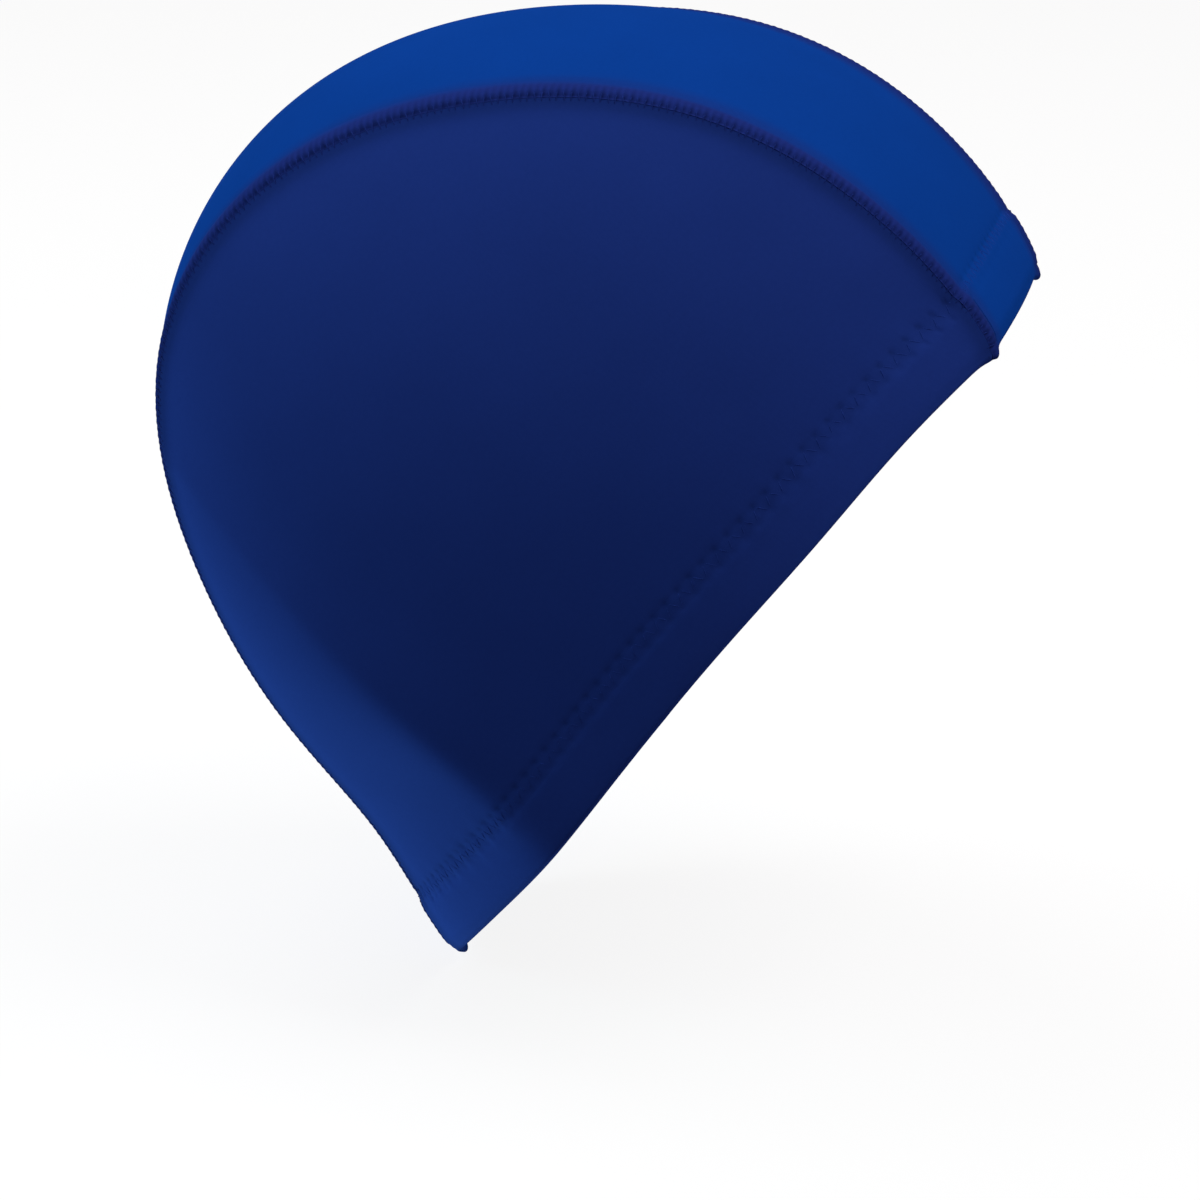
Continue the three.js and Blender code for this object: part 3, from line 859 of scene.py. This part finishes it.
class CAP_OT_hem(bpy.types.Operator):
    """Make the turned-in leaf of the hem and its zigzag stitching"""
    bl_idname = "cap.hem"
    bl_label = "Hem"

    def execute(self, context):
        cloth, hem = context.scene.cap_cloth, context.scene.cap_hem
        leaf = self.leaf("hem_leaf", cloth)
        leaf.data.materials.append(knit_finish("royal blue knit, hem", cloth.side_shade_tinted_colour,
                                               cloth.sheen_tint))
        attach(leaf, "root")
        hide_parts("hem")
        thread = thread_finish("hem thread", hem.thread_colour)
        for word, deep in (("outside", 0.0), ("inside", 2 * FOLD_RADIUS)):
            stitches = self.stitches(f"hem_stitches_{word}", hem, deep)
            stitches.data.materials.append(thread)
            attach(stitches, "root")
        return {"FINISHED"}

    def around(self, up):
        """Faces and outward directions round the rim at each height in up, a row each."""
        points, normals, rims = [], [], []
        for part, count in (("right", 300), ("nape", 48), ("left", 300), ("front", 64)):
            share = (np.arange(count) / count)[:, None]
            if part in ("right", "left"):
                side = -1 if part == "right" else 1
                front, back = ends_at(up)
                first, last = reach_at(front) * np.cos(front), reach_at(back) * np.cos(back)
                low_first, low_last = reach_at(0.0), -reach_at(math.pi)
                if side > 0:
                    first, last, low_first, low_last = last, first, low_last, low_first
                ahead = first + (last - first) * share
                low = low_first + (low_last - low_first) * share
                point, normal = side_point(ahead, up + 0 * ahead, side), side_normal(
                    ahead, up + 0 * ahead, side)
                rim = side_point(low + 0 * ahead, 0 * ahead, side)
                normal = eased(normal, rim, corner_normals(side)[0], seam_ends(side))
            else:
                nape = part == "nape"
                angle = angle_at(up, nape)
                half = half_at(angle)
                across = (-half if nape else half) * (1 - 2 * share)
                angle = angle + 0 * across
                point, normal = strip_point(angle, across), strip_normal(angle, across)
                flat = math.pi if nape else 0.0
                rim = strip_point(np.full_like(across, flat), across)
                for side in (-1, 1):
                    normal = eased(normal, rim, corner_normals(side)[1], seam_ends(side))
            points.append(point)
            normals.append(normal)
            rims.append(rim)
        rims = np.concatenate(rims)
        drop = sum(fold_drop(rims, seam_ends(side)) for side in (-1, 1))
        return np.concatenate(points), np.concatenate(normals), drop

    def leaf(self, name, cloth):
        """Cloth from the bottom of the fold up inside to the leaf's edge, and back down."""
        roll = np.linspace(math.pi / 2, math.pi, 7)
        up_in = FOLD_RADIUS * (1 - np.sin(roll))
        deep_in = FOLD_RADIUS * (1 - np.cos(roll))
        rise = np.linspace(FOLD_RADIUS, HEM_DEPTH, 18)[1:]
        wall = cloth.thickness
        up = np.concatenate((up_in, rise, rise[::-1], FOLD_RADIUS - (FOLD_RADIUS - wall)
                             * np.sin(roll)[::-1]))
        deep = np.concatenate((deep_in, np.full(len(rise), 2 * FOLD_RADIUS),
                               np.full(len(rise), 2 * FOLD_RADIUS - wall),
                               FOLD_RADIUS - (FOLD_RADIUS - wall) * np.cos(roll)[::-1]))
        point, normal, drop = self.around(up)
        sink = drop * np.clip(1 - up / FOLD_HEIGHT, 0, 1)
        ring = point - normal * deep[:, None] - UP * sink[..., None]
        rings, corners = ring.shape[:2]
        length = run_length(np.vstack((ring[:, 7], ring[:1, 7])))[:-1, None]
        line = up - bpy.context.scene.cap_hem.stitch_height
        ripple = 0.00012 * np.cos(2 * math.pi * length / RIPPLE_PITCH) * bump(line, 0.005)
        ring = ring + normal * ripple[..., None]
        piece = closed_piece(name, ring, tube_faces(rings, corners, True),
                             {"weave": weave_at(length, up)})
        return piece

    def stitches(self, name, hem, deep):
        """Zigzag thread round the rim, through the needle holes, sunk where it goes through."""
        paths = [self.zigzag(part, hem, deep) for part in ("right", "nape", "left", "front")]
        return thread_tubes(name, paths, hem.thread / 2)

    def zigzag(self, part, hem, deep):
        """Thread across one panel's part of the hem, from needle hole to needle hole."""
        step, inset = hem.stitch_pitch / 16, 0.0016
        if part in ("right", "left"):
            side = -1 if part == "right" else 1
            measure, length = rim_measure(side)
            along = np.arange(inset, length[-1] - inset, step)
            ahead = np.interp(along, length, measure)
        else:
            nape = part == "nape"
            half = half_at(angle_at(np.array(hem.stitch_height), nape)) - SEAM_WIDTH + 0.001
            across = np.arange(-half, half, step)
            along = across + STRIP_START
        rise = np.abs(2 * (along / hem.stitch_pitch % 1) - 1)
        up = hem.stitch_height + (rise - 0.5) * hem.stitch_width
        if part in ("right", "left"):
            face, out = side_point(ahead, up, side), side_normal(ahead, up, side)
        else:
            angle = angle_at(up, nape)
            face, out = strip_point(angle, across), strip_normal(angle, across)
        lift = np.sin(math.pi * rise) ** 0.5
        if deep:
            return face - out * (deep - 0.0002 + 0.0003 * lift)[:, None]
        high = stitch_relief(up, along, hem) - 0.00030 + 0.00028 * lift
        return face + out * high[:, None]


class CAP_OT_stage(bpy.types.Operator):
    """Make the pale floor, the soft studio lights and the camera"""
    bl_idname = "cap.stage"
    bl_label = "Studio"

    def execute(self, context):
        stage = context.scene.cap_stage
        low = CAD_BOX[0].z - 0.0008
        size = 4.0
        corners = [(-size, -size, low), (size, -size, low), (size, size, low), (-size, size, low)]
        floor = new_piece("floor", corners, [[0, 1, 2, 3]])
        finish, add, _, surface = new_finish("pale floor")
        place = add("ShaderNodeTexCoord").outputs["Object"]
        grain = add("ShaderNodeTexNoise", Vector=place, Scale=400.0).outputs["Fac"]
        relief = add("ShaderNodeBump", Height=grain, Strength=0.05, Distance=0.0002)
        surface(Normal=relief.outputs["Normal"], Base_Color=(*stage.floor_colour, 1),
                Roughness=0.8, Specular_IOR_Level=0.1, Emission_Color=(1, 1, 1, 1),
                Emission_Strength=stage.floor_glow)
        rings, sides = 16, 64
        around = np.arange(sides) * 2 * math.pi / sides
        height = np.linspace(0, math.radians(88), rings)[:, None]
        wide = size * np.cos(height)
        dome = np.stack((wide * np.cos(around), wide * np.sin(around),
                         low + size * np.sin(height) + 0 * around), -1)
        backdrop = new_piece("backdrop", dome, tube_faces(rings, sides, False)[:-2])
        for piece in (floor, backdrop):
            piece.data.materials.append(finish)
            piece.visible_diffuse = piece.visible_glossy = piece.visible_shadow = False
        self.camera(context, stage)
        for name, azimuth, elevation, wide, power, red in (
                ("overhead softbox", 0, 75, 0.8, 2.0, 1), ("front softbox", 90, 60, 0.8, 9.4, 1),
                ("upper left softbox", 240, 60, 0.8, 5.6, 1),
                ("left softbox", 285, 15, 0.8, 6.4, 0.7),
                ("low left softbox", 255, -30, 0.3, 5.8, 0.5),
                ("low back softbox", 225, -60, 0.3, 10.8, 0.5),
                ("low front softbox", 90, -40, 0.8, 2.6, 1)):
            self.light(name, self.direction(math.radians(azimuth), math.radians(elevation)),
                       wide, power, red)
        world = bpy.data.worlds.new("studio air")
        world.use_nodes = True
        back = world.node_tree.nodes["Background"]
        back.inputs["Color"].default_value = (1.0, 0.78, 0.8, 1)
        back.inputs["Strength"].default_value = 0.122
        context.scene.world = world
        context.scene.view_settings.view_transform = "Standard"
        return {"FINISHED"}

    def camera(self, context, stage):
        """Camera that looks at a point beside the middle of the opening."""
        back = self.direction(stage.azimuth, stage.elevation)
        right = Vector((math.cos(stage.azimuth), math.sin(stage.azimuth), 0))
        aim = right * stage.aim_side + right.cross(back) * -stage.aim_up
        lens = bpy.data.cameras.new("camera")
        lens.lens, lens.sensor_width = stage.lens, 36
        lens.clip_start, lens.clip_end = 0.05, 50
        camera = bpy.data.objects.new("camera", lens)
        context.scene.collection.objects.link(camera)
        camera.location = back * stage.distance
        camera.rotation_euler = (aim - camera.location).to_track_quat("-Z", "Y").to_euler()
        context.scene.camera = camera

    def light(self, name, direction, wide, power, red):
        """Square softbox that looks at the cap from a distance. It isn't seen itself."""
        distance = 1.3
        lamp = bpy.data.lights.new(name, "AREA")
        lamp.size, lamp.energy, lamp.color = wide, power, (red, 1, 1)
        light = bpy.data.objects.new(name, lamp)
        bpy.context.scene.collection.objects.link(light)
        light.location = distance * direction
        light.visible_camera = False
        light.rotation_euler = (-light.location).to_track_quat("-Z", "Y").to_euler()

    def direction(self, azimuth, elevation):
        """Direction from the cap, azimuth 0 on its right and turning towards the face."""
        return Vector((math.sin(azimuth) * math.cos(elevation),
                       -math.cos(azimuth) * math.cos(elevation), math.sin(elevation)))


class CAP_PT_sidebar(bpy.types.Panel):
    """Swim cap sizes, colours and pieces"""
    bl_idname = "CAP_PT_sidebar"
    bl_label = "Swim Cap"
    bl_space_type = "VIEW_3D"
    bl_region_type = "UI"
    bl_category = "Swim Cap"

    def draw(self, context):
        for group in (context.scene.cap_cloth, context.scene.cap_seam, context.scene.cap_hem,
                      context.scene.cap_stage):
            box = self.layout.box()
            for name in group.bl_rna.properties.keys():
                if name not in ("rna_type", "name"):
                    box.prop(group, name)
        for piece in PIECES:
            self.layout.operator(piece.bl_idname)


SETTINGS = {"cap_cloth": CapClothSettings, "cap_seam": CapSeamSettings,
            "cap_hem": CapHemSettings, "cap_stage": CapStageSettings}
PIECES = (CAP_OT_side_panels, CAP_OT_centre_panel, CAP_OT_seams, CAP_OT_hem, CAP_OT_stage)


def register():
    for kind in (*SETTINGS.values(), *PIECES, CAP_PT_sidebar):
        bpy.utils.register_class(kind)
    for name, kind in SETTINGS.items():
        setattr(bpy.types.Scene, name, bpy.props.PointerProperty(type=kind))


def unregister():
    for name in SETTINGS:
        delattr(bpy.types.Scene, name)
    for kind in reversed((*SETTINGS.values(), *PIECES, CAP_PT_sidebar)):
        bpy.utils.unregister_class(kind)


def main():
    """Registers the classes, and makes every piece and the studio."""
    register()
    bpy.ops.cap.side_panels()
    bpy.ops.cap.centre_panel()
    bpy.ops.cap.seams()
    bpy.ops.cap.hem()
    bpy.ops.cap.stage()


if __name__ == "__main__":
    main()
